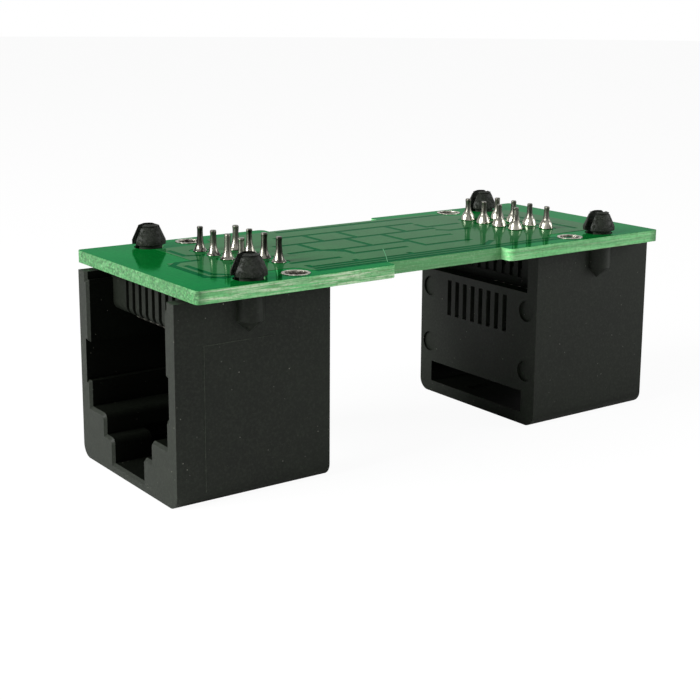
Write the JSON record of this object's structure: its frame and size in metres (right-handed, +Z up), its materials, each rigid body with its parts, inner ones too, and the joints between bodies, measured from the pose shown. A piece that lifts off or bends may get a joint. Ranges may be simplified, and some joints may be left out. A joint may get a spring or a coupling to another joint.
{
  "type": "rj45 inline coupler",
  "caption": "Bare inline coupler: two black modular jacks under a small green circuit board, with plug openings facing outwards at its ends.",
  "frame": {"origin": "on the surface that the jacks stand on, under the middle of the board", "axes": "+X from the left opening to the right one, +Y across the board to its far side, +Z up from the jacks to the board"},
  "size_m": [0.046, 0.0184, 0.0177],
  "materials": {
    "board": "green solder mask over glass fibre laminate, pale green sawn edges",
    "housing": "fine moulded matt black",
    "carrier": "fine moulded matt black",
    "contact": "tinned phosphor bronze wire",
    "solder": "bright tin solder",
    "plating": "tinned copper"
  },
  "bodies": {
    "root": {"circuit_board": "board", "left_jack_housing": "housing", "left_contact_carrier": "carrier", "left_contact_1": "contact", "left_solder_joint_1": "solder", "left_contact_2": "contact", "left_solder_joint_2": "solder", "left_contact_3": "contact", "left_solder_joint_3": "solder", "left_contact_4": "contact", "left_solder_joint_4": "solder", "left_contact_5": "contact", "left_solder_joint_5": "solder", "left_contact_6": "contact", "left_solder_joint_6": "solder", "left_contact_7": "contact", "left_solder_joint_7": "solder", "left_contact_8": "contact", "left_solder_joint_8": "solder", "left_near_plated_hole": "plating", "left_far_plated_hole": "plating", "right_jack_housing": "housing", "right_contact_carrier": "carrier", "right_contact_1": "contact", "right_solder_joint_1": "solder", "right_contact_2": "contact", "right_solder_joint_2": "solder", "right_contact_3": "contact", "right_solder_joint_3": "solder", "right_contact_4": "contact", "right_solder_joint_4": "solder", "right_contact_5": "contact", "right_solder_joint_5": "solder", "right_contact_6": "contact", "right_solder_joint_6": "solder", "right_contact_7": "contact", "right_solder_joint_7": "solder", "right_contact_8": "contact", "right_solder_joint_8": "solder", "right_near_plated_hole": "plating", "right_far_plated_hole": "plating"}
  },
  "joints": []
}
